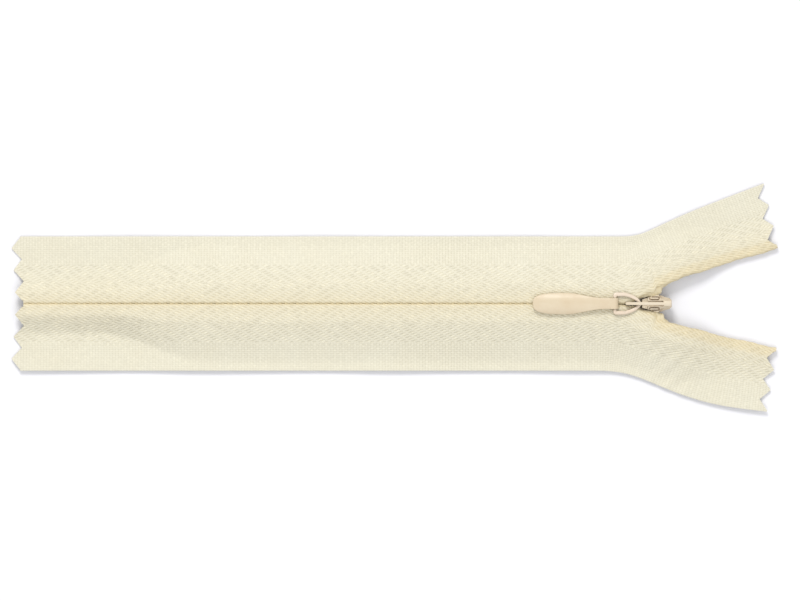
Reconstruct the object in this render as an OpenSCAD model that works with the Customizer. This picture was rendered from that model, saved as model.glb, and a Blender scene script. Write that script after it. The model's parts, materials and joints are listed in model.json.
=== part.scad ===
// Concealed closed-end zipper, face up and drawn closed, with its halves splayed above the slider.
// X runs along the chain from the bottom stop towards the top, +Y is the left half and +Z leaves
// the face. The origin is the middle of the bottom stop's flat underside.

/* [Tape] */
// Width of one tape, from the seam to its outer edge
tape_w = 12.5; // [10:0.5:16]
// Thickness of the woven tape
tape_t = 0.35; // [0.3:0.01:0.4]
// Tape left below the bottom stop
tape_below = 22; // [15:1:40]
// Tape above the point where the halves part
tape_above = 31; // [20:1:45]
// Width of the tape edge that is folded under to carry the coil
fold_w = 2.1; // [2:0.05:2.15]
// Clear gap inside the fold, where the slider's flange runs
fold_gap = 0.55; // [0.5:0.01:0.6]
// Distance between neighbouring points of the pinked ends
pink_pitch = 4.15; // [3:0.05:5]
// Depth of the pinked notches
pink_depth = 1.7; // [1:0.1:2.5]

/* [Chain] */
// Distance from the bottom stop to the point where the halves part
part_x = 91.5; // [60:0.5:240]
// Angle of the left half above the slider
left_splay = 20; // [15:0.5:20]
// Angle of the right half above the slider
right_splay = 17; // [15:0.5:20]
// Distance between neighbouring turns of one coil
pitch = 1.07; // [1:0.01:1.2]
// Thickness of the coil's filament
filament_t = 0.4; // [0.36:0.01:0.42]
// Height of the coil
coil_h = 1.23; // [1.2:0.01:1.25]
// How far the coupling heads reach past the seam
head_reach = 0.4; // [0.3:0.01:0.45]
// Radius of the cord inside the coil
cord_r = 0.2; // [0.1:0.01:0.2]
// Width of one row of stitching
stitch_w = 0.22; // [0.15:0.01:0.3]

/* [Slider] */
// Length of the slider's channel
slider_l = 8.6; // [8:0.1:10]
// How far the slider's mouth lies above the parting point
mouth_x = 5.7; // [5.4:0.1:5.8]
// Thickness of the slider's back plate
plate_t = 0.6; // [0.5:0.01:0.62]
// Thickness of the slider's side walls
wall_t = 0.5; // [0.4:0.05:0.6]
// Width of the bridge that holds the ring
bridge_w = 0.56; // [0.4:0.02:0.58]
// Thickness of the bridge
bridge_t = 0.62; // [0.5:0.02:0.8]

/* [Pull] */
// Radius of the ring's two round bars
wire_r = 0.23; // [0.2:0.01:0.24]
// Width of the ring's flat arms
arm_w = 0.6; // [0.36:0.02:0.6]
// Thickness of the ring's flat arms
arm_t = 0.4; // [0.3:0.02:0.44]
// Width of the ring, outside to outside
ring_w = 4.1; // [3.8:0.1:5]
// Length of the ring between its bar and its apex
ring_l = 4.6; // [4.4:0.05:5]
// Length of the pull from its tip to its eye
pull_l = 15.3; // [12:0.1:25]
// Greatest width of the pull
pull_w = 4; // [3:0.1:6]
// Width of the pull at its neck
neck_w = 2.05; // [1.6:0.05:2.2]
// Thickness of the pull
pull_t = 1.3; // [1.1:0.05:1.4]

/* [Hidden] */
$fn = 48;

// Small gap between pieces that lie on each other
clear = 0.04;
// Length of the bottom stop, and its gap to the slider at the end of the travel
stop_l = 2.4;
stop_gap = 0.3;
// Travel of the slider, and the place where the halves hinge when it is down
travel = part_x + mouth_x - slider_l - stop_l / 2 - stop_gap;
hinge_x = part_x - travel;

// Heights of the layers, from the table up
stitch_t = 0.12;
stitch_z = plate_t + clear;
coil_z = stitch_z + stitch_t + clear;
fold_z = coil_z + coil_h + clear;
flange_z = fold_z + tape_t + clear;
flange_t = fold_gap - 2 * clear;
face_z = fold_z + tape_t + fold_gap;
top_z = face_z + tape_t;

// Cross-section of the tape: the fold at the seam, the raised shoulder and the flat outer band
seam_gap = 0.02;
fold_r = (top_z - fold_z) / 2;
fold_y = seam_gap + fold_r;
shoulder_y = 3.2;
flat_y = 8.4;

// Cross-section of the coil and the places of the cord and the stitching in it
coil_rear = 1.85;
spine_w = 0.4;
head_t = filament_t + 0.08;
cord_y = 1;
stitch_y = [0.72, 1.22];

// Gaps between the coil's runs where the halves turn inside the slider
bend_before = 1;
bend_after = 1.6;
coil_top_l = 5.3;
top_stop_l = 1.7;

// Slider: half widths of its channel at the tail and the mouth, and the post between the halves
tail_x = part_x + mouth_x - slider_l;
front_x = part_x + mouth_x;
tail_y = fold_w + 0.1;
mouth_y = mouth_x * tan(left_splay) + tail_y / cos(left_splay) + clear;
lip_y = 0.8;
lip_mouth_y = mouth_x * tan(left_splay) + lip_y / cos(left_splay);
post_start = 1.9;
post_slope = 0.3;
nose_x = front_x + 2.9;
apex_gap = 0.09;

// Ring and pull: places of the two swing axes
apex_x = part_x + 2.6;
apex_z = top_z + wire_r + 0.12;
eye_z = top_z + clear + pull_t / 2 + 0.02;
ring_tilt = asin((eye_z - apex_z) / ring_l);
eye_x = apex_x - ring_l * cos(ring_tilt);
apex_y = bridge_w / 2 + wire_r + 0.05;
bore_r = wire_r + 0.06;
bridge_z = apex_z + wire_r + apex_gap;

tape_colour = [0.94, 0.92, 0.82];
coil_colour = [0.95, 0.92, 0.8];
metal_colour = [0.95, 0.88, 0.77];

// Extrudes a Y-Z outline along X
module along_x(from, to) {
  translate([from, 0, 0]) rotate([90, 0, 90]) linear_extrude(to - from) children();
}

// Turns the top of a half about the parting point
module splayed(angle) {
  translate([part_x, 0, 0]) rotate([0, 0, angle]) translate([-part_x, 0, 0]) children();
}

module right_side() {
  mirror([0, 1, 0]) children();
}

module tape_outline() {
  translate([fold_y, fold_z]) square([fold_w - fold_y, tape_t]);
  translate([fold_y, fold_z + fold_r]) intersection() {
    difference() {
      circle(fold_r);
      circle(fold_r - tape_t);
    }
    translate([-fold_r, -fold_r]) square([fold_r, 2 * fold_r]);
  }
  polygon([
    [fold_y, face_z], [shoulder_y, face_z], [flat_y, 0], [tape_w, 0],
    [tape_w, tape_t], [flat_y, tape_t], [shoulder_y, top_z], [fold_y, top_z]
  ]);
}

// Row of teeth to cut off a tape end. dir is 1 at the top, where a point lies at the seam, and
// -1 at the bottom, where a notch does.
module pinking(x, dir) {
  teeth = ceil(tape_w / pink_pitch) + 1;
  first = dir > 0 ? -pink_pitch / 2 : 0;
  notches = [for (i = [0 : teeth]) each [
    [x, first + (i - 0.5) * pink_pitch], [x - dir * pink_depth, first + i * pink_pitch]
  ]];
  far = [[x + dir, first + teeth * pink_pitch], [x + dir, first - pink_pitch / 2]];
  translate([0, 0, -1]) linear_extrude(top_z + 2) polygon(concat(notches, far));
}

// Wedge that mitres the tape where it turns by angle at the parting point
module mitre(angle, dir) {
  translate([part_x, 0, -1]) rotate([0, 0, angle / 2])
    translate([dir > 0 ? -clear / 2 : -20, -20, 0]) cube([20 + clear / 2, 40, top_z + 2]);
}

module tape_bottom() {
  color(tape_colour) difference() {
    along_x(-tape_below, hinge_x - clear / 2) tape_outline();
    pinking(-tape_below, -1);
  }
}

module tape_main(splay) {
  color(tape_colour) difference() {
    along_x(hinge_x + clear / 2, part_x + tape_w) tape_outline();
    mitre(splay, 1);
  }
}

module tape_top(splay) {
  color(tape_colour) difference() {
    splayed(splay) difference() {
      along_x(part_x - tape_w, part_x + tape_above) tape_outline();
      pinking(part_x + tape_above, 1);
    }
    mitre(splay, -1);
  }
}

// Flattened coil: a comb of turns cut to the coil's oval section, hollow for the cord.
// phase shifts the turns so that the two halves mesh.
module coil_run(from, to, phase) {
  turns = floor((to - from - phase - filament_t) / pitch);
  first = from + phase + head_t / 2 + clear;
  spine = coil_rear - spine_w;
  fingers = [for (i = [0 : turns]) each
    let (x = first + i * pitch, n = filament_t / 2, h = head_t / 2) [
      [x - n, spine], [x - n, head_reach * 0.4], [x - h, 0], [x - h, -head_reach * 0.6],
      [x - n * 0.6, -head_reach], [x + n * 0.6, -head_reach],
      [x + h, -head_reach * 0.6], [x + h, 0], [x + n, head_reach * 0.4], [x + n, spine]
    ]];
  last = first + turns * pitch + filament_t / 2;
  back = [[last, coil_rear], [first - filament_t / 2, coil_rear]];
  color(coil_colour) intersection() {
    translate([0, 0, coil_z - 1]) linear_extrude(coil_h + 2) polygon(concat(fingers, back));
    along_x(from, to) coil_outline();
  }
}

module coil_outline() {
  bend_r = coil_h / 2;
  hole_r = bend_r - filament_t;
  difference() {
    stadium(bend_r - head_reach, coil_rear - bend_r, bend_r);
    stadium(0.15 + hole_r, coil_rear - filament_t - hole_r, hole_r);
  }
}

module stadium(y0, y1, r) {
  mid_z = coil_z + coil_h / 2;
  translate([y0, mid_z]) circle(r);
  translate([y1, mid_z]) circle(r);
  translate([y0, mid_z - r]) square([y1 - y0, 2 * r]);
}

module cord_run(from, to) {
  color("ivory") translate([from, cord_y, coil_z + coil_h / 2])
    rotate([0, 90, 0]) cylinder(h = to - from, r = cord_r);
}

// Two rows of thread that hold the coil's legs to the folded edge
module stitch_run(from, to) {
  color("white") for (y = stitch_y)
    translate([from, y - stitch_w / 2, stitch_z]) cube([to - from, stitch_w, stitch_t]);
}

// Bounds of the chain's three runs: below the hinge, closed, and above the parting point
bottom_from = -tape_below + pink_depth + 0.5;
bottom_to = hinge_x - clear;
closed_from = hinge_x + clear;
closed_to = part_x - bend_before;
open_from = part_x + bend_after;
open_to = open_from + coil_top_l;

module top_stop() {
  rise = 0.06;
  color(coil_colour) along_x(open_to + clear, open_to + top_stop_l)
    translate([-head_reach, stitch_z - rise]) square([coil_rear + head_reach, fold_z - stitch_z]);
}

// Crimped clip round both coils, its lips inside the folds
module bottom_stop() {
  half_w = tail_y + wall_t;
  color(metal_colour) along_x(-stop_l / 2, stop_l / 2) {
    translate([-half_w, 0]) square([2 * half_w, plate_t]);
    for (s = [0, 1]) mirror([s, 0]) {
      translate([tail_y, 0]) square([wall_t, flange_z + flange_t]);
      translate([tail_y - 0.7, flange_z]) square([0.7 + wall_t, flange_t]);
    }
  }
}

// Plan of one slider half between an inner and an outer edge that follow the parting halves
module slider_half(inner_tail, inner_mouth, outer_tail, outer_mouth) {
  polygon([
    [tail_x, inner_tail], [part_x, inner_tail], [front_x, inner_mouth],
    [front_x, outer_mouth], [part_x, outer_tail], [tail_x, outer_tail]
  ]);
}

module slider_shell() {
  for (s = [0, 1]) mirror([0, s, 0]) {
    linear_extrude(plate_t) slider_half(0, 0, tail_y + wall_t, mouth_y + wall_t);
    linear_extrude(flange_z + flange_t)
      slider_half(tail_y, mouth_y, tail_y + wall_t, mouth_y + wall_t);
    translate([0, 0, flange_z]) linear_extrude(flange_t)
      slider_half(lip_y, lip_mouth_y, tail_y + wall_t, mouth_y + wall_t);
  }
}

// Post that parts the halves, with the rails and the nose on top of it
module slider_post() {
  x0 = part_x + post_start;
  post_y = (mouth_x - post_start) * post_slope;
  linear_extrude(fold_z) polygon([[x0, 0], [front_x, post_y], [front_x + 1, 0], [front_x, -post_y]]);
  rail_x = part_x + 3.1;
  rail_half = [
    [rail_x, 0.8], [front_x, 1.55], [front_x + 0.8, 1.6], [front_x + 1.5, 1.3],
    [nose_x - 0.4, 1.05], [nose_x, 0.6]
  ];
  rail_other = [for (i = [len(rail_half) - 1 : -1 : 0]) [rail_half[i][0], -rail_half[i][1]]];
  rail_top = face_z + 0.15;
  groove_w = bridge_w + 0.4;
  groove_z = fold_z + 0.4;
  boss_x = front_x - 0.35;
  boss_y = 0.98;
  difference() {
    translate([0, 0, fold_z]) linear_extrude(rail_top - fold_z)
      polygon(concat(rail_half, rail_other));
    translate([rail_x - 1, -groove_w / 2, groove_z]) cube([4.9, groove_w, 2]);
    for (s = [-1, 1]) translate([boss_x, s * boss_y, rail_top - 0.3]) long_pad(0.66, 0.34, 1);
  }
  for (s = [-1, 1]) translate([boss_x, s * boss_y, rail_top - 0.4]) long_pad(0.62, 0.17, 0.46);
}

// Round-ended pad along X
module long_pad(half_l, r, h) {
  for (x = [-half_l, half_l]) translate([x, 0, 0]) cylinder(h = h, r = r);
  translate([-half_l, -r, 0]) cube([2 * half_l, 2 * r, h]);
}

// Narrow bar over the ring's apex: its foot stands on the nose, its free tip dips to the tape
module slider_bridge() {
  tip_r = bridge_w / 2;
  tip_x = part_x - 0.05 + tip_r;
  foot_l = 1.5;
  foot_w = 1;
  foot_top = bridge_z + bridge_t - 0.1;
  translate([tip_x, -bridge_w / 2, bridge_z]) cube([nose_x - 0.15 - tip_x, bridge_w, bridge_t]);
  translate([tip_x, 0, top_z + 0.05]) cylinder(h = bridge_z + bridge_t - top_z - 0.05, r = tip_r);
  translate([nose_x - foot_l, -foot_w / 2, face_z]) cube([foot_l - 0.1, foot_w, foot_top - face_z]);
}

module slider_body() {
  color(metal_colour) union() {
    slider_shell();
    slider_post();
    slider_bridge();
  }
}

// Stirrup ring: two round bars joined by flat arms, drawn flat from its apex axis, then tilted
module pull_ring() {
  side_y = ring_w / 2 - arm_w / 2;
  knee_x = -2.7;
  slope = atan2(side_y - apex_y, -knee_x);
  across = arm_w / 2 * [sin(slope), cos(slope)];
  corner = arm_w / 2 * [tan(slope / 2), 1];
  start = [0, apex_y] + 0.1 * [cos(slope), -sin(slope)];
  knee = [knee_x, side_y];
  end = [-ring_l - 0.1, side_y];
  up = [0, arm_w / 2];
  color(metal_colour) translate([apex_x, 0, apex_z]) rotate([0, ring_tilt, 0]) {
    rotate([90, 0, 0]) cylinder(h = 2 * apex_y + 0.2, r = wire_r, center = true);
    translate([-ring_l, 0, 0]) rotate([90, 0, 0])
      cylinder(h = ring_w - 0.1, r = wire_r, center = true);
    for (s = [0, 1]) mirror([0, s, 0]) translate([0, 0, -arm_t / 2]) linear_extrude(arm_t)
      polygon([start + across, knee + corner, end + up, end - up, knee - corner, start - across]);
  }
}

// Half width of the pull at a share u of its length, from the blunt tip to the neck
function pull_half(u) =
  let (belly = 0.42, neck = 0.92, blunt = 3, t = min((u - belly) / (neck - belly), 1))
  u < belly
    ? pull_w / 2 * pow(1 - pow(1 - u / belly, blunt), 1 / blunt)
    : neck_w / 2 + (pull_w - neck_w) / 4 * (1 + cos(180 * t));

module pull_tab() {
  steps = 28;
  block_l = 0.75;
  body_l = pull_l - block_l;
  tip_x = eye_x - pull_l;
  upper = [for (i = [0 : steps])
    let (u = pow(i / steps, 1.5)) [tip_x + u * body_l, pull_half(u)]];
  lower = [for (i = [steps : -1 : 1]) [upper[i][0], -upper[i][1]]];
  low_z = eye_z - pull_t / 2;
  crown_r = 4.2;
  color(metal_colour) difference() {
    union() {
      intersection() {
        translate([0, 0, low_z]) linear_extrude(pull_t) polygon(concat(upper, lower));
        translate([tip_x - 1, 0, low_z + pull_t - crown_r])
          rotate([0, 90, 0]) cylinder(h = pull_l + 1, r = crown_r, $fn = 96);
      }
      translate([eye_x, 0, eye_z]) rotate([90, 0, 0]) linear_extrude(neck_w, center = true) {
        circle(pull_t / 2);
        translate([-block_l - 0.1, -pull_t / 2]) square([block_l + 0.1, pull_t]);
      }
    }
    translate([eye_x, 0, eye_z]) rotate([90, 0, 0])
      cylinder(h = 3 * neck_w, r = bore_r, center = true);
  }
}

tape_bottom();  // left_tape_bottom
tape_main(left_splay);  // left_tape
tape_top(left_splay);  // left_tape_top
right_side() tape_bottom();  // right_tape_bottom
right_side() tape_main(right_splay);  // right_tape
right_side() tape_top(right_splay);  // right_tape_top
coil_run(bottom_from, bottom_to, 0);  // left_coil_bottom
coil_run(closed_from, closed_to, 0);  // left_coil
splayed(left_splay) coil_run(open_from, open_to, 0);  // left_coil_top
right_side() coil_run(bottom_from, bottom_to, pitch / 2);  // right_coil_bottom
right_side() coil_run(closed_from, closed_to, pitch / 2);  // right_coil
right_side() splayed(right_splay) coil_run(open_from, open_to, pitch / 2);  // right_coil_top
cord_run(bottom_from, bottom_to);  // left_cord_bottom
cord_run(closed_from, closed_to);  // left_cord
splayed(left_splay) cord_run(open_from, open_to);  // left_cord_top
right_side() cord_run(bottom_from, bottom_to);  // right_cord_bottom
right_side() cord_run(closed_from, closed_to);  // right_cord
right_side() splayed(right_splay) cord_run(open_from, open_to);  // right_cord_top
stitch_run(bottom_from, bottom_to);  // left_stitching_bottom
stitch_run(closed_from, closed_to);  // left_stitching
splayed(left_splay) stitch_run(open_from, open_to);  // left_stitching_top
right_side() stitch_run(bottom_from, bottom_to);  // right_stitching_bottom
right_side() stitch_run(closed_from, closed_to);  // right_stitching
right_side() splayed(right_splay) stitch_run(open_from, open_to);  // right_stitching_top
splayed(left_splay) top_stop();  // left_top_stop
right_side() splayed(right_splay) top_stop();  // right_top_stop
bottom_stop();
slider_body();
pull_ring();
pull_tab();
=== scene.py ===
"""Looks of a concealed zipper: woven tapes, coils, cords, stitching, stops, slider, ring and pull.

Shapes are worked out in millimetres in the straight tape's own terms, then bent into place:
u runs along the tape, v across it from the seam to the outer edge, and z up from the table.
"""

import json
import math

import bpy
import numpy as np
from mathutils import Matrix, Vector


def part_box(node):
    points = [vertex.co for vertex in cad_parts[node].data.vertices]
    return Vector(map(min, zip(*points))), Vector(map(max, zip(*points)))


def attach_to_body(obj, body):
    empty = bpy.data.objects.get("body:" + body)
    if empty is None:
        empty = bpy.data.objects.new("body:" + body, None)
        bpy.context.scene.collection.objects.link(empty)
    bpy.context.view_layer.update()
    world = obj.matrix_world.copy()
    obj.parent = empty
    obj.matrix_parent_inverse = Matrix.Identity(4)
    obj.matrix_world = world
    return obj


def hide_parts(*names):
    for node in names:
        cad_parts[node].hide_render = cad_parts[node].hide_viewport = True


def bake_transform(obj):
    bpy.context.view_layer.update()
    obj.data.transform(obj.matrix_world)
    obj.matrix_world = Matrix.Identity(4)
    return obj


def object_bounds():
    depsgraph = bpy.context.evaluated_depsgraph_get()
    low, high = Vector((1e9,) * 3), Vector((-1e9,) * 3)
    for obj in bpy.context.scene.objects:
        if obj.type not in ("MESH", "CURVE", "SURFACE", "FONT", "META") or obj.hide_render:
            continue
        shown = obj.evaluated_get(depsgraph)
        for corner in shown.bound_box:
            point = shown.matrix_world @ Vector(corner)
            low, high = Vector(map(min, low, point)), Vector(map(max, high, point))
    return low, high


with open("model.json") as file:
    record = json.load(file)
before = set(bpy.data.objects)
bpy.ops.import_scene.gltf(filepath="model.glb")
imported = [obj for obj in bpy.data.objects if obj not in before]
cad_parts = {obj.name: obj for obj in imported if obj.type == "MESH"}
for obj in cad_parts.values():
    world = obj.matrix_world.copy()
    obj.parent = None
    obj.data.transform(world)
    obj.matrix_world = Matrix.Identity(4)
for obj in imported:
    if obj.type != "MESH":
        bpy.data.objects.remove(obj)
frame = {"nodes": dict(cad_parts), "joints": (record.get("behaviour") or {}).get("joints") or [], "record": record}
cad_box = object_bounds()

MM = 1000.0

# ---------------------------------------------------------------------------------------------
# Places and sizes, read from the frame
# ---------------------------------------------------------------------------------------------


def box_mm(node):
    """Lowest and highest corner of a CAD node, in millimetres."""
    low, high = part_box(node)
    return np.array(low) * MM, np.array(high) * MM


def straight_box(node, angle):
    """Box of a CAD node of a splayed top, turned back straight about the parting point."""
    points = np.array([v.co for v in frame["nodes"][node].data.vertices]) * MM
    points[:, 0] -= part_x
    c, s = math.cos(-angle), math.sin(-angle)
    x = points[:, 0] * c - points[:, 1] * s + part_x
    y = points[:, 0] * s + points[:, 1] * c
    flat = np.stack([x, y, points[:, 2]], axis=1)
    return flat.min(0), flat.max(0)


joints = {j["name"]: j for j in frame["joints"]}
couplings = {c["joint"]: c["ratio"] for c in frame["record"]["behaviour"]["couplings"]}
part_x = joints["left_straighten"]["pos_m"][0] * MM
travel_m = joints["slider_travel"]["range_m"][1]
splay = {side: couplings[side + "_part"] * travel_m for side in ("left", "right")}

tape_low, tape_high = box_mm("left_tape_bottom")
tape_from, tape_w, top_z = tape_low[0], tape_high[1], tape_high[2]
coil_low, coil_high = box_mm("left_coil_bottom")
stop_low, stop_high = straight_box("left_top_stop", splay["left"])
stitch_low, stitch_high = box_mm("left_stitching_bottom")

TAPE_T = 0.35          # thickness of the woven tape
FOLD_T = 1.25          # height of the folded edge that holds the slider's flange
FOLD_FROM = -0.012     # seam edge of the fold, pressed against its neighbour's
FOLD_REACH = 2.1       # how far the folded-under layer runs back from the seam
PICK = 0.535           # spacing of the weft picks along the tape
PLAIN_FROM = 7.2       # the plain band runs from here to the outer edge
OUTER_TWILL_FROM = 3.7  # the outer twill band; the inner one runs on round the fold
WARP_PLAIN = 0.353     # spacing of the warp threads in the plain band
WARP_TWILL = 0.318     # and in the twill bands
STITCH_PERIOD = 2.14   # spacing of the stitches that pull the seam into small scallops
COIL_PITCH = 1.07      # spacing of the coil's turns
FILAMENT_R = 0.2       # radius of the coil's filament
WARP_R = 0.075         # height of the round top of a warp thread, and of a weft thread
WEFT_R = 0.045
PLAIN_LIFT = 0.03      # mean height of the woven relief, taken off so that the tape keeps its size
MOUTH_END = 5.65       # the slider's mouth ends this far past the parting point
SINK_FROM = 8.6        # and from here on the parted halves sink towards the table
TOP_REACH = 29         # length of the tops past the parting point, which sets their columns
CUTS = (26.0, 74.0)    # where a half's fabric, coil and threads are split into three pieces
NEUTRAL_V = 7.0        # the line across the tape that keeps its length where the tape bends

# How each half leaves the slider, in millimetres past the parting point: the tape's heading in
# degrees, how far its raised half leans outwards, the step where its fold springs clear of the
# slider's mouth, how far the fold's lower layer laps in against the slider's post there, and
# where its cut end lies at the fold and at the outer edge.
HALVES = {
    "left": {
        "side": 1,
        "heading": ((-1.6, 0), (8.3, 25.2), (20.8, 21)),
        "lean": ((0, 0), (3, 1.3), (14, 1.3), (19, 1), (26, 0.35)),
        "step": ((3.9, 0), (4.6, 0.8), (9, 0.7), (14, 0.05)),
        "lap": ((1.2, 0), (3, 0.5), (4.3, 1.35), (4.7, 1.3), (5.3, 0.4), (6.4, 0)),
        "end": (28.1, 29.8),
    },
    "right": {
        "side": -1,
        "heading": ((-6.6, 0), (8, 22.9), (26, 6.6)),
        "lean": ((0, 0), (2.6, 0.45), (14, -0.05), (22, -0.1), (28, 0.5)),
        "step": ((3.4, 0), (4.2, 0.8), (8.5, 0.4), (13, 0)),
        "lap": ((1.2, 0), (2.8, 0.45), (4.1, 1.3), (4.7, 1.35), (5.3, 0.5), (6.4, 0)),
        "end": (28.8, 28.2),
    },
}


def ease(x, *points):
    """Curve through (x, value) points with smooth steps between them, level outside them."""
    x = np.asarray(x, float)
    value = np.full_like(x, points[0][1])
    for (x0, v0), (x1, v1) in zip(points, points[1:]):
        t = np.clip((x - x0) / (x1 - x0), 0, 1)
        value = np.where(x >= x0, v0 + (v1 - v0) * t * t * (3 - 2 * t), value)
    return value


def trace_neutral_line(half):
    """Adds the half's neutral line to it: its place and heading at closely spaced u."""
    step = 0.05
    u = np.arange(part_x - 20, part_x + 40, step)
    phi = np.radians(ease(u - part_x, *half["heading"]))
    half["u"], half["phi"] = u, phi
    half["x"] = u[0] + np.concatenate([[0], np.cumsum(np.cos(phi[:-1]) * step)])
    half["y"] = NEUTRAL_V + np.concatenate([[0], np.cumsum(np.sin(phi[:-1]) * step)])


def place(half, u, v, z):
    """Points of the row frame, in metres, for places u, v, z of the straight tape."""
    u, v, z = np.broadcast_arrays(*(np.asarray(a, float) for a in (u, v, z)))
    inside = np.clip(u, half["u"][0], half["u"][-1])
    x0 = np.interp(inside, half["u"], half["x"]) + (u - inside)
    y0 = np.interp(inside, half["u"], half["y"])
    phi = np.interp(inside, half["u"], half["phi"])
    lean = ease(u - part_x, *half["lean"]) * ease(v, (2.5, 1), (tape_w, 0))
    step = ease(u - part_x, *half["step"]) * ease(v, (2.0, 1), (6, 0))
    out = v - NEUTRAL_V + lean + step
    x = x0 - np.sin(phi) * out
    y = (y0 + np.cos(phi) * out) * half["side"]
    return np.stack([x, y, z], axis=-1) / MM


def chain_tuck(u):
    """How far the chain's heads draw back under the fold once the halves have parted."""
    return ease(u - part_x, (1, 0), (5, 0.42))


def chain_drop(u):
    """How far the chain sinks towards the table below the bottom stop."""
    return ease(u, (tape_from, 0.6), (-9, 0.6), (-1.5, 0))


# ---------------------------------------------------------------------------------------------
# Mesh helpers
# ---------------------------------------------------------------------------------------------


def mesh_object(name, points, faces, attributes=None, normals=None):
    """Smooth-shaded object from points in metres; attributes are per-point values."""
    mesh = bpy.data.meshes.new(name)
    mesh.from_pydata(points.tolist(), [], faces)
    for key, values in (attributes or {}).items():
        kind, field = ("FLOAT", "value") if values.ndim == 1 else ("FLOAT_VECTOR", "vector")
        layer = mesh.attributes.new(key, kind, "POINT")
        layer.data.foreach_set(field, values.astype(np.float32).ravel())
    mesh.polygons.foreach_set("use_smooth", [True] * len(mesh.polygons))
    if normals is not None:
        mesh.normals_split_custom_set_from_vertices(normals.tolist())
    mesh.update()
    obj = bpy.data.objects.new(name, mesh)
    bpy.context.scene.collection.objects.link(obj)
    return obj


def loft_quads(rows, columns):
    """Quads of a lofted tube of closed loops."""
    i, j = np.meshgrid(np.arange(rows - 1), np.arange(columns), indexing="ij")
    j2 = (j + 1) % columns
    quads = np.stack([i * columns + j, i * columns + j2, (i + 1) * columns + j2,
                      (i + 1) * columns + j], axis=-1).reshape(-1, 4)
    return quads.tolist()


def loft_faces(rows, columns):
    """Quads of a lofted tube, and a face over each end."""
    ends = [list(range(columns))[::-1], list(range((rows - 1) * columns, rows * columns))]
    return loft_quads(rows, columns) + ends


def turned_over(faces):
    """The faces with their other side out."""
    return [face[::-1] for face in faces]


def strip_faces(a, b, at_a, at_b):
    """Triangles between two rows of points, a and b, whose places at_a and at_b both fall."""
    faces, i, j = [], 0, 0
    while i < len(a) - 1 or j < len(b) - 1:
        if j == len(b) - 1 or (i < len(a) - 1 and at_a[i + 1] >= at_b[j + 1]):
            faces.append([a[i], a[i + 1], b[j]])
            i += 1
        else:
            faces.append([a[i], b[j + 1], b[j]])
            j += 1
    return faces


def tube(path, across, high, ref, sides=8):
    """Points and faces of a tube of elliptic section along a path. ref gives its flat side."""
    tangent = np.gradient(path, axis=0)
    tangent /= np.linalg.norm(tangent, axis=1, keepdims=True)
    normal = np.cross(tangent, ref)
    normal /= np.linalg.norm(normal, axis=1, keepdims=True)
    binormal = np.cross(tangent, normal)
    turn = np.linspace(0, 2 * math.pi, sides, endpoint=False)
    across = np.broadcast_to(across, len(path))[:, None, None]
    high = np.broadcast_to(high, len(path))[:, None, None]
    ring = (path[:, None] + normal[:, None] * np.cos(turn)[None, :, None] * across
            + binormal[:, None] * np.sin(turn)[None, :, None] * high)
    return ring.reshape(-1, 3), loft_faces(len(path), sides)


def joined(parts):
    """One points array and face list from several (points, faces) pairs."""
    points, faces, base = [], [], 0
    for part_points, part_faces in parts:
        points.append(part_points)
        faces += [[k + base for k in face] for face in part_faces]
        base += len(part_points)
    return np.concatenate(points), faces


# ---------------------------------------------------------------------------------------------
# Node-based materials
# ---------------------------------------------------------------------------------------------


LIGHT_LEVEL = 1.42     # how bright a white surface facing up is under the scene's lights


def paint(r, g, b):
    """Linear colour that shows on screen as these 0 to 255 values under the scene's lights."""
    return tuple(((c / 255 + 0.055) / 1.055) ** 2.4 / LIGHT_LEVEL for c in (r, g, b)) + (1,)


class Nodes:
    """Short calls for building one material's node tree."""

    def __init__(self, name):
        self.material = bpy.data.materials.new(name)
        self.material.use_nodes = True
        self.tree = self.material.node_tree
        self.surface = self.tree.nodes["Principled BSDF"]

    def link(self, value, socket):
        if isinstance(value, bpy.types.NodeSocket):
            self.tree.links.new(value, socket)
        else:
            socket.default_value = value

    def add(self, kind, inputs=None, **settings):
        node = self.tree.nodes.new("ShaderNode" + kind)
        for key, value in settings.items():
            setattr(node, key, value)
        for key, value in (inputs or {}).items():
            self.link(value, node.inputs[key])
        return node

    def maths(self, operation, a, b=0.0, clamp=False):
        return self.add("Math", {0: a, 1: b}, operation=operation, use_clamp=clamp).outputs[0]

    def span(self, value, low, high, to_low=0.0, to_high=1.0):
        inputs = {"Value": value, "From Min": low, "From Max": high,
                  "To Min": to_low, "To Max": to_high}
        return self.add("MapRange", inputs).outputs["Result"]

    def mix(self, factor, a, b, blend="MIX"):
        node = self.add("Mix", data_type="RGBA", blend_type=blend)
        self.link(factor, node.inputs["Factor"])
        self.link(a, node.inputs["A"])
        self.link(b, node.inputs["B"])
        return node.outputs["Result"]

    def scaled(self, vector, scale):
        inputs = {"Vector": vector, "Scale": scale}
        return self.add("Mapping", inputs).outputs["Vector"]

    def noise(self, vector, scale, detail=3.0):
        inputs = {"Vector": vector, "Scale": scale, "Detail": detail}
        return self.add("TexNoise", inputs).outputs["Fac"]

    def set(self, **values):
        for key, value in values.items():
            self.link(value, self.surface.inputs[key.replace("_", " ")])

    def bump(self, height, strength, distance_mm, normal=None):
        inputs = {"Height": height, "Strength": strength, "Distance": distance_mm / MM}
        if normal is not None:
            inputs["Normal"] = normal
        return self.add("Bump", inputs).outputs["Normal"]


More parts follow.
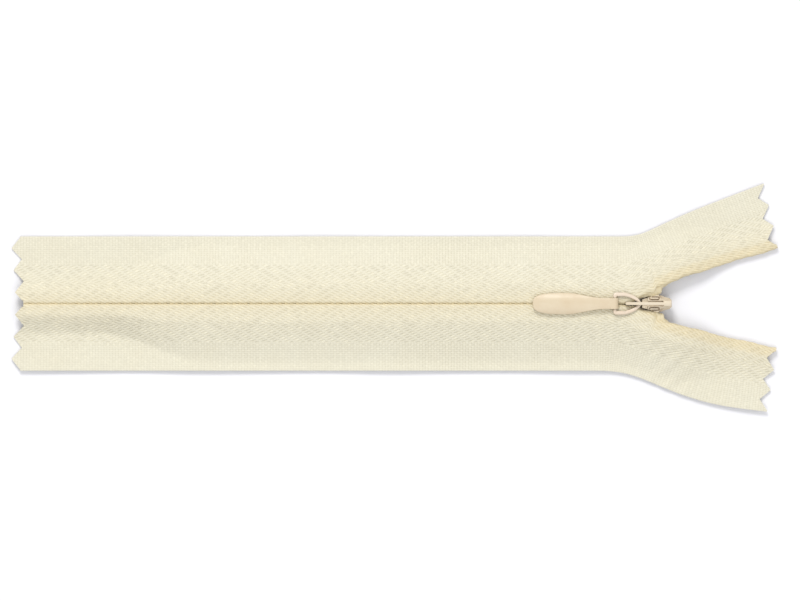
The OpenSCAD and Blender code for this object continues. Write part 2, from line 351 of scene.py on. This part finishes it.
def woven_material():
    """Polyester tape. Its threads are in the mesh; the nodes add fibres, sheen and colour.

    The mesh's thread attribute holds (u, s, height): along the tape, across the cloth and how high the thread
    stands. Lower threads are painted darker, as painted shade in the weave's hollows. tint is each float's own
    shade, and warmth runs up to the seam."""
    n = Nodes("woven_tape")
    thread = n.add("Attribute", attribute_name="thread").outputs["Vector"]
    height = n.add("SeparateXYZ", {"Vector": thread}).outputs["Z"]
    tint = n.add("Attribute", attribute_name="tint").outputs["Fac"]
    warmth = n.add("Attribute", attribute_name="warmth").outputs["Fac"]
    flat = n.add("VectorMath", {0: thread, 1: (1, 1, 0)}, operation="MULTIPLY").outputs[0]
    fibres = n.noise(n.scaled(flat, (1.6, 26, 1)), 1.0, 2.0)
    blotches = n.noise(flat, 0.16, 2.0)
    pale = n.mix(blotches, paint(251, 247, 226), paint(247, 241, 217))
    warm = n.mix(warmth, pale, paint(248, 234, 196))
    # painted shade: the lower a thread stands, the more it turns towards these darker colours, yellower near the
    # seam
    hollow_shade = n.mix(warmth, paint(206, 198, 166), paint(205, 184, 128))
    colour = n.mix(n.span(height, 0.0, 0.8), hollow_shade, warm)
    shade = n.maths("ADD", n.span(tint, 0, 1, 0.9, 1.04), n.span(fibres, 0.3, 0.7, -0.02, 0.02))
    grey = n.add("CombineColor", {0: shade, 1: shade, 2: shade}).outputs["Color"]
    n.set(Base_Color=n.mix(1.0, colour, grey, "MULTIPLY"))
    n.set(Roughness=n.span(fibres, 0.2, 0.8, 0.5, 0.72), Specular_IOR_Level=0.35)
    n.set(Sheen_Weight=0.22, Sheen_Roughness=0.45, Sheen_Tint=paint(255, 252, 240))
    n.set(Normal=n.bump(fibres, 0.45, 0.05))
    return n.material


def filament_material():
    """Coil monofilament: glossy, slightly cloudy, with faint draw lines."""
    n = Nodes("monofilament")
    place_in = n.add("TexCoord").outputs["Object"]
    lines = n.noise(n.scaled(place_in, (9000, 1500, 9000)), 1.0, 2.0)
    clouds = n.noise(place_in, 500.0)
    n.set(Base_Color=n.mix(n.span(clouds, 0.35, 0.65), paint(240, 232, 205), paint(232, 221, 188)))
    n.set(Roughness=n.span(lines, 0.3, 0.7, 0.24, 0.4), Subsurface_Weight=0.15)
    n.set(Subsurface_Scale=0.0004, Subsurface_Radius=(1, 0.8, 0.5))
    n.set(Normal=n.bump(lines, 0.15, 0.02))
    return n.material


def thread_material(name, light, dark):
    """Spun thread: fine twisted fibres and a soft sheen."""
    n = Nodes(name)
    place_in = n.add("TexCoord").outputs["Object"]
    twist = n.add("TexWave", {"Vector": place_in, "Scale": 2600.0, "Distortion": 2.5},
                  bands_direction="DIAGONAL").outputs["Fac"]
    fuzz = n.noise(place_in, 9000.0)
    n.set(Base_Color=n.mix(n.maths("MULTIPLY", twist, fuzz), dark, light))
    n.set(Roughness=n.span(fuzz, 0.3, 0.7, 0.6, 0.8), Sheen_Weight=0.3, Sheen_Roughness=0.5)
    n.set(Normal=n.bump(twist, 0.4, 0.03))
    return n.material


def enamel_material(name, light, warm, crevice_shade):
    """Painted zinc: satin enamel with orange peel, worn edges, and painted shade that darkens its corners and
    gaps.
    """
    n = Nodes(name)
    place_in = n.add("TexCoord").outputs["Object"]
    peel = n.noise(place_in, 2600.0, 2.0)
    patches = n.noise(place_in, 320.0, 3.0)
    streaks = n.noise(n.scaled(place_in, (260, 2600, 2600)), 1.0, 3.0)
    open_air = n.add("AmbientOcclusion", {"Distance": 0.0011}, samples=8).outputs["AO"]
    edge = n.add("NewGeometry").outputs["Pointiness"]
    tone = n.mix(n.span(patches, 0.35, 0.65), light, warm)
    tone = n.mix(n.span(streaks, 0.45, 0.75, 0, 0.3), tone, warm)
    worn = n.maths("MULTIPLY", n.span(edge, 0.53, 0.6), n.span(patches, 0.5, 0.62))
    tone = n.mix(n.maths("MULTIPLY", worn, 0.45), tone, paint(214, 202, 180))
    # painted shade: where the AO term finds little open air, the colour turns towards the dark crevice colour
    tone = n.mix(n.span(open_air, 0.62, 0.2, 0, 0.85), tone, crevice_shade)
    n.set(Base_Color=tone, Roughness=n.span(patches, 0.3, 0.7, 0.34, 0.48))
    n.set(Coat_Weight=0.25, Coat_Roughness=0.2)
    n.set(Normal=n.bump(n.maths("ADD", peel, n.maths("MULTIPLY", streaks, 0.6)), 0.12, 0.04))
    return n.material


# ---------------------------------------------------------------------------------------------
# Woven tapes
# ---------------------------------------------------------------------------------------------


def dome(offset, half_width):
    """Round top of a thread: 1 at its middle, 0 at its sides and beyond."""
    return np.sqrt(np.clip(1 - (offset / half_width) ** 2, 0, 1))


def weave(half, u, s):
    """Height in millimetres, and shade from 0 to 1, of the cloth at u along and s across it.

    The outer band is a plain weave. The two inner bands are 2/2 twills whose steps run opposite
    ways, and whose floats lean against them, which gives the herringbone of the tape's middle."""
    side = half["side"]
    rng = np.random.default_rng(11 if side > 0 else 12)
    shades = rng.random((64, 512))
    swell = 0.07       # how far a thread rises and falls as it crosses others
    height = np.full(u.shape, -1.0)
    shade = np.zeros(u.shape)
    bands = (
        (PLAIN_FROM, 99, WARP_PLAIN, 2, 0),
        (OUTER_TWILL_FROM, PLAIN_FROM, WARP_TWILL, 4, side),
        (-9, OUTER_TWILL_FROM, WARP_TWILL, 4, -side),
    )
    for low, high, pitch, period, step in bands:
        under = 0.4 if step else 0.1   # how far the crossings favour the underside
        here = (s >= low) & (s < high)
        uu, ss = u[here], s[here] - max(low, 0)
        best = np.full(uu.shape, -1.0)
        tone = np.zeros(uu.shape)
        row = np.floor(ss / pitch)
        turn = 2 * math.pi / period
        for k in (-1, 0, 1):
            i = row + k
            steps = i * step if step else i
            phase = turn * (uu / PICK + steps)
            lean = 0.11 * np.sin(phase) * step
            up = np.clip(1.35 * np.cos(phase) - under, -1, 1)
            rise = swell * up + WARP_R * dome(ss - (i + 0.5) * pitch - lean, 0.53 * pitch)
            cell = np.floor(phase / (2 * math.pi) + 0.5)
            own = shades[(i.astype(int)) % 64, (cell.astype(int)) % 512]
            tone = np.where(rise > best, own, tone)
            best = np.maximum(best, rise)
        j = np.round(uu / PICK)
        steps = (ss / pitch - 0.5) * (step if step else 1)
        up = np.clip(1.35 * np.cos(turn * (j + steps)) - under, -1, 1)
        rise = WEFT_R * dome(uu - j * PICK, 0.55 * PICK) - swell * up
        tone = np.where(rise > best, 0.35, tone)
        height[here] = np.maximum(best, rise)
        shade[here] = tone if step else 0.25 + 0.5 * tone
    return height, shade


def ramp(y, low, high, soft):
    """0 up to low and 1 from high on, with rounded corners."""
    def knee(t):
        return (t + np.sqrt(t * t + soft * soft)) / 2
    return (knee(y - low) - knee(y - high)) / (high - low)


def face_height(half, u, v):
    """Height of the tape's face: raised over the chain and flat on the table further out."""
    crest = top_z - chain_drop(u) - ease(u - part_x, (SINK_FROM, 0), (20, 2.0), (31, 2.1))
    shoulder = ease(u, (-6, 2.2), (12, 3.3)) - ease(u - part_x, (9, 0), (20, 0.9))
    foot = ease(u, (-6, 5.5), (14, 11)) - ease(u - part_x, (9, 0), (22, 4.5))
    fall = ramp(v, shoulder, foot, 0.5)
    side = half["side"]
    sway = (0.05 * np.sin(u / 6.1 + side) + 0.04 * np.sin(u / 2.9 + 2 * side)) * ramp(v, 2.5, 6, 1)
    curl = 0.2 if side > 0 else 0.5
    edge = (curl + 0.1 * np.sin(u / 5.3 + 1.3 * side)) * ramp(v, 9.5, tape_w, 1)
    bend = np.exp(-((u - part_x - 5 - 0.5 * v) / 4.5) ** 2) * ramp(v, 2.6, 4.5, 0.5)
    buckle = 0.07 * np.sin((u - part_x + 0.5 * v) * 2 * math.pi / 3.1) * bend
    ends = ease(u - part_x, (12, 0), (31, 0.5)) * ramp(v, 5, tape_w, 2) * (1 + 0.5 * np.sin(v))
    return TAPE_T + 0.03 + (crest - TAPE_T) * (1 - fall) + sway * 0.6 + edge + ends * 0.3 + buckle


def fold_thickness(u):
    """Height of the folded edge, thinner towards both ends of the tape."""
    return FOLD_T - ease(u, (-14, 0.3), (-3, 0)) - ease(u - part_x, (SINK_FROM, 0), (16, 0.4))


PINK_PITCH = 4.12      # spacing of the zigzag's points across the tape
PINK_DEPTH = 1.75


def tape_loop():
    """Stations round the tape's cross-section, from the outer edge over the face, round the fold,
    and back inside it to the outer edge: kind, v or angle, place s in the cloth, relief share."""
    fold_r = FOLD_T / 2
    fold_v = FOLD_FROM + fold_r
    face = np.arange(tape_w, fold_v, -WARP_TWILL / 4)
    stations = [("face", v, v, 1.0 if v < tape_w - 0.1 else 0.3) for v in face]
    for angle in np.linspace(90, -90, 15):
        stations.append(("arc", angle, fold_v - math.radians(90 - angle) * fold_r, 1.0))
    arc_end = fold_v - math.pi * fold_r
    for v in np.linspace(fold_v, FOLD_REACH, 9)[1:]:
        stations.append(("back_low", v, arc_end - (v - fold_v), 0.6))
    for v in np.linspace(FOLD_REACH, fold_v, 5):
        stations.append(("back_high", v, arc_end - (v - fold_v), 0))
    for angle in np.linspace(-90, 90, 9)[1:]:
        stations.append(("inner_arc", angle, fold_v - math.radians(90 - angle) * fold_r, 0))
    for v in np.append(np.arange(PINK_PITCH / 4, tape_w, PINK_PITCH / 4), tape_w):
        stations.append(("under", v, v, 0))
    return stations


def loop_place(half, u, kind, value):
    """v and z of one station of the cross-section at each u."""
    fold_r = fold_thickness(u) / 2
    fold_v = FOLD_FROM + FOLD_T / 2
    crest = face_height(half, u, np.full_like(u, fold_v))
    if kind == "face":
        v = np.full_like(u, value)
        return v, face_height(half, u, v)
    if kind == "under":
        v = np.full_like(u, value)
        return v, np.maximum(face_height(half, u, v) - TAPE_T, 0.01)
    if kind.startswith("back"):
        low = crest - 2 * fold_r
        return np.full_like(u, value), low + (TAPE_T if kind == "back_high" else 0)
    angle = math.radians(value)
    inset = TAPE_T if kind == "inner_arc" else 0
    square = 0.9
    out = (fold_v - FOLD_FROM - inset) * abs(math.cos(angle)) ** square
    out = out + ease(u - part_x, *half["lap"]) * float(ease(value, (-25, 1), (35, 0)))
    rise = (fold_r - inset) * math.copysign(abs(math.sin(angle)) ** square, angle)
    return fold_v - out, crest - fold_r + rise


def pinked(v, tip_at_seam):
    """How far the zigzag cut lies back from its tips, at v across the tape."""
    t = v / PINK_PITCH + (0 if tip_at_seam else 0.5)
    return PINK_DEPTH * 2 * np.abs(t - np.round(t))


def grid_normals(points, side):
    """Outward unit normals of a tape's grid of points."""
    along, around = np.gradient(points, axis=0), np.gradient(points, axis=1)
    normal = np.cross(around, along) * side
    return normal / (np.linalg.norm(normal, axis=2, keepdims=True) + 1e-12)


def seam_warmth(u, s):
    """How yellow the cloth is: most at the seam, and on the folds of the splayed tops; the narrow peak at the seam
    is painted shade of the groove between the folds.
    """
    splayed = ease(u - part_x, (2, 0), (6, 1))
    # painted shade: the narrow second term yellows the cloth right at the seam, in the groove between the folds
    warmth = np.exp(-np.maximum(s, 0) / 3) * 0.65 + np.exp(-(np.maximum(s, -1) / 0.3) ** 2) * 0.35
    warmth += splayed * 0.35 * (1 - ease(s, (1.4, 0), (2.3, 1)))
    return np.clip(warmth, 0, 1)


def tape_piece(half_name, part, material):
    """One of the three pieces of a half's tape: "bottom", "middle" or "top"."""
    half = HALVES[half_name]
    stations = tape_loop()
    v_of = np.array([s[1] if s[0] in ("face", "under") or s[0].startswith("back") else 0.3
                     for s in stations])
    low, high = {"bottom": (tape_from, CUTS[0]), "middle": CUTS,
                 "top": (CUTS[1], part_x + TOP_REACH)}[part]
    steps = int((high - low) / (PICK / 4))
    share = np.arange(-1, steps + 2)[:, None] / steps  # one column more at each end, cut off below
    start = np.full(len(stations), low)
    stop = np.full(len(stations), high)
    if part == "bottom":
        start = tape_from - ease(v_of, (0, 0), (tape_w, 0.9)) + pinked(v_of, False)
    if part == "top":
        fold_end, outer_end = half["end"]
        slant = fold_end + (outer_end - fold_end) * v_of / tape_w
        stop = part_x + slant - pinked(v_of, True)
    u = start + (stop - start) * share
    v = np.zeros_like(u)
    z = np.zeros_like(u)
    for k, (kind, value, _, _) in enumerate(stations):
        v[:, k], z[:, k] = loop_place(half, u[:, k], kind, value)
    # the stitches pull the seam's edge into small scallops
    pull = np.cos(2 * math.pi * u / STITCH_PERIOD + (0 if half["side"] > 0 else math.pi))
    near = np.exp(-(v / 0.45) ** 2)
    v = v + 0.032 * (1 + pull) * near
    points = place(half, u, v, z)
    s = np.broadcast_to(np.array([st[2] for st in stations]), u.shape)
    relief = np.array([st[3] for st in stations])
    height, shade = weave(half, u, s)
    lift = ((height - PLAIN_LIFT) * relief)[:, :, None] / MM
    points = points + grid_normals(points, half["side"]) * lift
    points[:, :, 2] = np.maximum(points[:, :, 2], 0)
    normal = grid_normals(points, half["side"])
    # how high each thread stands; the material paints the lower threads darker, as painted shade in the hollows
    level = np.clip((height + 0.02) / 0.16, 0, 1)
    level = np.where(relief > 0, level, 0.6)
    grids = [points, normal, np.stack([u, s, level], axis=-1), shade, seam_warmth(u, s)]
    points, normal, thread, shade, warmth = (with_end_rings(grid[1:-1]) for grid in grids)
    normal[-2 * len(stations):] = 0    # the end faces use their own flat normals
    rows = steps + 1
    quads = loft_quads(rows, len(stations))
    ends = end_faces(stations, rows * len(stations))
    if half["side"] < 0:
        quads, ends = turned_over(quads), turned_over(ends)
    attributes = {"thread": thread, "tint": shade, "warmth": warmth}
    name = f"{half_name}_tape_{part}_cloth"
    cloth = mesh_object(name, points, quads + ends, attributes, normal)
    cloth.data.materials.append(material)
    return cloth


def with_end_rings(grid):
    """A grid's values as one list, with its first and last ring again for the end faces."""
    flat = grid.reshape(-1, *grid.shape[2:])
    return np.concatenate([flat, grid[0], grid[-1]])


def end_faces(stations, first):
    """Cut faces at both ends of a tape, between the outside and the inside of its section."""
    outer = [k for k, st in enumerate(stations) if st[0] in ("face", "arc", "back_low")]
    inner = [k for k, st in enumerate(stations) if st[0] in ("under", "inner_arc", "back_high")]
    inner = inner[::-1]
    at_outer = [stations[k][2] for k in outer]
    at_inner = [stations[k][2] for k in inner]
    strip = strip_faces(outer, inner, at_outer, at_inner)
    near = turned_over([[k + first for k in face] for face in strip])
    far = [[k + first + len(stations) for k in face] for face in strip]
    return near + far


# ---------------------------------------------------------------------------------------------
# Coil, cord, stitching and stops
# ---------------------------------------------------------------------------------------------


COIL_MID = (coil_low[2] + coil_high[2]) / 2


def coil_path(half, first, last):
    """Middle line of a coil's filament over its turns first to last, as (u, v, z)."""
    per_turn = 28
    r = (coil_high[2] - coil_low[2]) / 2 - FILAMENT_R
    head, rear = coil_low[1] + FILAMENT_R, coil_high[1] - FILAMENT_R
    leg = rear - head - 2 * r
    around = 2 * leg + 2 * math.pi * r
    turns = last - first
    t = np.linspace(0, turns, turns * per_turn + 1)
    d = (t % 1) * around
    arc = math.pi * r
    v = np.where(d < leg, rear - r - d, 0.0)
    z = np.where(d < leg, r, 0.0)
    on_head = (d >= leg) & (d < leg + arc)
    angle = (d - leg) / r
    v = np.where(on_head, head + r - r * np.sin(angle), v)
    z = np.where(on_head, r * np.cos(angle), z)
    back = (d >= leg + arc) & (d < 2 * leg + arc)
    v = np.where(back, head + r + d - leg - arc, v)
    z = np.where(back, -r, z)
    on_rear = d >= 2 * leg + arc
    angle = (d - 2 * leg - arc) / r
    v = np.where(on_rear, rear - r + r * np.sin(angle), v)
    z = np.where(on_rear, -r * np.cos(angle), z)
    phase = 0.3 if half["side"] > 0 else 0.3 + COIL_PITCH / 2
    u = coil_low[0] + phase + (first + t) * COIL_PITCH
    return u, v, z


def turns_before(u):
    """Number of whole turns of the coil up to u."""
    return int(round((u - coil_low[0]) / COIL_PITCH))


RUNS = {"bottom": (0, turns_before(CUTS[0])), "middle": tuple(turns_before(c) for c in CUTS),
        "top": (turns_before(CUTS[1]), turns_before(stop_low[0]))}


def coil_piece(half_name, part, material):
    """Filament of one stretch of a coil, thicker at the heads that mesh."""
    half = HALVES[half_name]
    u, v, z = coil_path(half, *RUNS[part])
    height = z + COIL_MID - chain_drop(u)
    path = place(half, u, v + chain_tuck(u), height)
    ahead = place(half, u + 0.1, v + chain_tuck(u), height) - path
    swell = 1 + 0.2 * np.exp(-((v - coil_low[1] - FILAMENT_R) / 0.2) ** 2)
    points, faces = tube(path, FILAMENT_R / MM, FILAMENT_R / MM * swell, ahead)
    coil = mesh_object(f"{half_name}_coil_{part}_filament", points, faces)
    coil.data.materials.append(material)
    return coil


def run_ends(part):
    """Where a stretch's threads start and end, in line with its coil."""
    first, last = RUNS[part]
    return coil_low[0] + first * COIL_PITCH, coil_low[0] + last * COIL_PITCH


def strand_piece(half_name, part, what, paths, across, high, sides, material):
    """Threads along a half, one tube for each path function of u, as one piece."""
    half = HALVES[half_name]
    low, high_u = run_ends(part)
    u = np.linspace(low, high_u, int((high_u - low) / 0.1))
    tubes = []
    for offset in paths:
        v, z = offset(u)
        path = place(half, u, v + chain_tuck(u), z - chain_drop(u))
        tubes.append(tube(path, across / MM, high / MM, np.array([0.0, 0.0, 1.0]), sides))
    strand = mesh_object(f"{half_name}_{what}_{part}_yarn", *joined(tubes))
    strand.data.materials.append(material)
    return strand


def cord_piece(half_name, part, material):
    """Two plies twisted together inside the coil."""
    def ply(start):
        def path(u):
            angle = 2 * math.pi * u / 0.9 + start
            return 1.0 + 0.09 * np.cos(angle), COIL_MID + 0.09 * np.sin(angle)
        return path
    return strand_piece(half_name, part, "cord", [ply(0), ply(math.pi)], 0.105, 0.105, 6, material)


def stitch_piece(half_name, part, material):
    """Two rows of thread under the coil's legs, each dipping between the turns."""
    low_z = (stitch_low[2] + stitch_high[2]) / 2
    rows = (stitch_low[1] + 0.11, stitch_high[1] - 0.11)

    def row(v0, shift):
        def path(u):
            wave = np.cos(2 * math.pi * u / STITCH_PERIOD + shift)
            dip = np.clip((wave - 0.55) / 0.45, 0, 1)
            return v0 + 0.03 * np.sin(2 * math.pi * u / STITCH_PERIOD), low_z + 0.35 * dip * dip
        return path
    paths = [row(rows[0], 0), row(rows[1], 1.2)]
    return strand_piece(half_name, part, "stitching", paths, 0.1, 0.055, 6, material)


def top_stop_piece(half_name, material):
    """Melted lump that closes the coil's end, with the last turns still showing in it."""
    half = HALVES[half_name]
    low, high = stop_low, stop_high
    rows, sides = 40, 32
    t = np.linspace(0.012, 0.988, rows)[:, None]
    angle = np.linspace(0, 2 * math.pi, sides, endpoint=False)[None, :]
    size = (1 - np.abs(2 * t - 1) ** 3.5) ** (1 / 3.5)
    size = size * (1 - 0.06 * (0.5 + 0.5 * np.cos(2 * math.pi * t * 3)))
    size = size * (1 + 0.025 * np.sin(3 * angle + 5 * t) + 0.015 * np.sin(7 * angle - 9 * t))
    mid_v, half_v = (low[1] + high[1]) / 2, (high[1] - low[1]) / 2 * 0.96
    mid_z, half_z = (low[2] + high[2]) / 2, (high[2] - low[2]) / 2 * 0.96
    cosine, sine = np.cos(angle), np.sin(angle)
    v = mid_v + half_v * np.sign(cosine) * np.abs(cosine) ** 0.6 * size
    z = mid_z + half_z * np.sign(sine) * np.abs(sine) ** 0.6 * size
    u = low[0] + (high[0] - low[0]) * t + 0 * v
    points = place(half, u, v + chain_tuck(u), z).reshape(-1, 3)
    faces = loft_faces(rows, sides)
    faces = faces if half["side"] > 0 else turned_over(faces)
    stop = mesh_object(f"{half_name}_top_stop_lump", points, faces)
    stop.data.materials.append(material)
    return stop


def prism(corners, low_z, high_z):
    """Object with the given plan, in metres from millimetres, standing between two heights."""
    n = len(corners)
    points = [(x / MM, y / MM, z / MM) for z in (low_z, high_z) for x, y in corners]
    faces = [list(range(n))[::-1], list(range(n, 2 * n))]
    faces += [[i, (i + 1) % n, n + (i + 1) % n, n + i] for i in range(n)]
    return mesh_object("prism", np.array(points), faces)


def cast_piece(name, node, voxel, rounds, material, trims=()):
    """A die-cast or stamped piece: the CAD shape with its edges rounded as a casting's are.

    trims are prisms (plan, low, high) taken off first, on both sides of the slider's axis."""
    mesh = frame["nodes"][node].data.copy()
    obj = bpy.data.objects.new(name, mesh)
    bpy.context.scene.collection.objects.link(obj)
    mesh.materials.clear()
    cutters = []
    for plan, low_z, high_z in trims:
        for side in (1, -1):
            corners = [(x, y * side) for x, y in plan][::side]
            cutters.append(prism(corners, low_z, high_z))
    for cutter in cutters:
        cut = obj.modifiers.new("trim", "BOOLEAN")
        cut.operation, cut.object, cut.solver = "DIFFERENCE", cutter, "EXACT"
    remesh = obj.modifiers.new("skin", "REMESH")
    remesh.mode, remesh.voxel_size, remesh.use_smooth_shade = "VOXEL", voxel / MM, True
    smooth = obj.modifiers.new("round", "SMOOTH")
    smooth.factor, smooth.iterations = 0.5, rounds
    depsgraph = bpy.context.evaluated_depsgraph_get()
    final = bpy.data.meshes.new_from_object(obj.evaluated_get(depsgraph))
    obj.modifiers.clear()
    obj.data = final
    for cutter in cutters:
        bpy.data.objects.remove(cutter)
    final.polygons.foreach_set("use_smooth", [True] * len(final.polygons))
    final.materials.clear()
    final.materials.append(material)
    return obj


def ring_piece(material):
    """Stirrup ring: a straight bar in the pull's eye, parallel arms and a round end."""
    apex = np.array(joints["ring_swing"]["pos_m"])
    eye = np.array(joints["pull_swing"]["pos_m"])
    low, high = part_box("pull_ring")
    arm = 0.00034                      # half the width of an arm, seen from above
    bar = 0.00022                      # radius of the bar
    half_w = high[1] - arm
    length = np.linalg.norm(eye - apex)
    back = (eye - apex) / length
    corner = 0.00022
    bend = 0.6 * length                # where the arms start to curve towards the apex
    quarter = np.linspace(0, math.pi / 2, 9)
    sweep = np.linspace(0, math.pi / 2, 25)
    bar_y = np.linspace(0, half_w - corner, 8)[:-1]
    arm_a = np.linspace(length - corner, bend, 8)[1:-1]
    chord = 0.35                       # how far the curve is flattened towards a straight line
    a = np.concatenate([bar_y * 0 + length, length - corner + corner * np.cos(quarter), arm_a,
                        bend * (1 - np.sin(sweep))])
    curve = (1 - chord) * np.cos(sweep) + chord * (1 - np.sin(sweep))
    y = np.concatenate([bar_y, half_w - corner + corner * np.sin(quarter), arm_a * 0 + half_w,
                        half_w * curve])
    a = np.concatenate([a, a[-2::-1]])
    y = np.concatenate([y, -y[-2::-1]])
    path = apex + a[:, None] * back + y[:, None] * np.array([0, 1, 0])
    out = ease(a, (0, 0.85), (bend * 0.4, 1), (length - corner, 1.1), (length, 1)) * arm
    in_eye = (a > length - corner) & (np.abs(y) < half_w - 2 * corner)
    out = np.where(in_eye, bar, out)
    thick = ease(a, (0, 0.0002), (length - corner, 0.0002), (length, bar))
    up = np.cross(back, [0, 1, 0])
    points, faces = tube(path, out, thick, up, 16)
    ring = mesh_object("pull_ring_wire", points, faces)
    ring.data.materials.append(material)
    return ring


# ---------------------------------------------------------------------------------------------
# Building the zipper
# ---------------------------------------------------------------------------------------------


def attach(obj, half_name, part):
    """Rides a middle piece of fabric, coil or thread on its half's side; bottom and top pieces keep their built
    place.
    """
    side_body, top_body = half_name + "_side", half_name + "_top"
    if part == "middle":
        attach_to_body(obj, side_body)
        return
    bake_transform(obj)


cloth = woven_material()
filament = filament_material()
cord_yarn = thread_material("cord_yarn", paint(246, 240, 222), paint(222, 212, 180))
sewing_thread = thread_material("sewing_thread", paint(250, 247, 236), paint(228, 221, 198))
# the last colour of each enamel is the painted shade for its corners and gaps
slider_paint = enamel_material("slider_enamel", paint(240, 225, 198), paint(233, 215, 184),
                               paint(150, 118, 78))
ring_paint = enamel_material("ring_enamel", paint(249, 232, 210), paint(244, 224, 199),
                             paint(170, 135, 95))
pull_paint = enamel_material("pull_enamel", paint(234, 217, 185), paint(229, 209, 175),
                             paint(190, 160, 115))
stop_paint = enamel_material("stop_enamel", paint(238, 226, 200), paint(228, 212, 180),
                             paint(140, 110, 75))

SUFFIX = {"bottom": "_bottom", "middle": "", "top": "_top"}
for half_name, half in HALVES.items():
    trace_neutral_line(half)
    for part, suffix in SUFFIX.items():
        builders = (
            ("tape", tape_piece(half_name, part, cloth), "tape"),
            ("coil", coil_piece(half_name, part, filament), "coil"),
            ("cord", cord_piece(half_name, part, cord_yarn), "cord"),
            ("stitching", stitch_piece(half_name, part, sewing_thread), "thread"),
        )
        for what, obj, slot in builders:
            attach(obj, half_name, part)
            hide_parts(f"{half_name}_{what}{suffix}")
    lump = top_stop_piece(half_name, filament)
    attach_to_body(lump, half_name + "_top")
    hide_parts(half_name + "_top_stop")

# On the visible slider the rails' starts are lower than in the CAD shape, and the nose's flanks
# are cut back above a thin base that keeps the CAD outline.
front_x = part_x + MOUTH_END
rail_ends = [(part_x + 2.5, 0.31), (front_x - 1.55, 0.31), (front_x - 1.45, 2.5),
             (part_x + 2.5, 2.5)]
nose_sides = [(front_x + 0.4, 2.5), (front_x + 0.62, 1.25), (front_x + 0.9, 0.95),
              (front_x + 4, 0.85), (front_x + 4, 2.5)]
slider_trims = ((rail_ends, top_z - 0.95, top_z + 0.35), (nose_sides, top_z - 1.2, top_z + 2))

for piece, node, body, slot in (
    (cast_piece("slider_casting", "slider_body", 0.06, 4, slider_paint, slider_trims),
     "slider_body", "slider", "slider"),
    (ring_piece(ring_paint), "pull_ring", "ring", "ring"),
    (cast_piece("pull_tab_casting", "pull_tab", 0.06, 8, pull_paint), "pull_tab", "pull", "pull"),
    (cast_piece("bottom_stop_clip", "bottom_stop", 0.05, 5, stop_paint), "bottom_stop", "base", "stop"),
):
    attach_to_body(piece, body)
    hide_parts(node)

# ---------------------------------------------------------------------------------------------
# Stage, light and camera
# ---------------------------------------------------------------------------------------------


def floor():
    """Plain pale table top, just under the tapes."""
    n = Nodes("floor")
    grain = n.noise(n.add("TexCoord").outputs["Object"], 40.0)
    n.set(Base_Color=n.mix(grain, (0.76, 0.76, 0.785, 1), (0.78, 0.78, 0.805, 1)), Roughness=0.9)
    n.set(Specular_IOR_Level=0.1)
    size = 3.0
    corners = np.array([[-size, -size, 0], [size, -size, 0], [size, size, 0], [-size, size, 0]])
    corners[:, 2] = -0.00004
    obj = mesh_object("studio_floor", corners, [[0, 1, 2, 3]])
    obj.data.materials.append(n.material)


def area_light(name, place_at, target, size, watts, colour):
    """Square soft light that faces its target."""
    light = bpy.data.lights.new(name, "AREA")
    light.size, light.energy, light.color = size, watts, colour
    obj = bpy.data.objects.new(name, light)
    obj.location = place_at
    obj.rotation_euler = (Vector(target) - Vector(place_at)).to_track_quat("-Z", "Y").to_euler()
    bpy.context.scene.collection.objects.link(obj)


def camera():
    """Straight above the middle, as in a flat-lay photograph, with the whole zipper in view."""
    low, high = (np.array(v) for v in cad_box)
    middle = (low + high) / 2
    height, view_width = 1.3, (high[0] - low[0]) + 0.006
    cam = bpy.data.cameras.new("camera")
    cam.sensor_width = 36
    cam.lens = cam.sensor_width * height / view_width
    cam.clip_end = 10
    obj = bpy.data.objects.new("camera", cam)
    obj.location = (middle[0], middle[1], height)
    bpy.context.scene.collection.objects.link(obj)
    bpy.context.scene.camera = obj


floor()
middle = ((cad_box[0][0] + cad_box[1][0]) / 2, 0, 0)
area_light("key", (middle[0] - 0.1, 0.5, 0.62), middle, 0.25, 3.3, (1, 0.985, 0.96))
area_light("softbox", (middle[0], -0.3, 0.85), middle, 0.7, 2.4, (1, 1, 1))
world = bpy.data.worlds.new("world")
bpy.context.scene.world = world
world.use_nodes = True
world.node_tree.nodes["Background"].inputs["Color"].default_value = (0.97, 0.975, 1, 1)
world.node_tree.nodes["Background"].inputs["Strength"].default_value = 0.8
bpy.context.scene.view_settings.view_transform = "Standard"
camera()
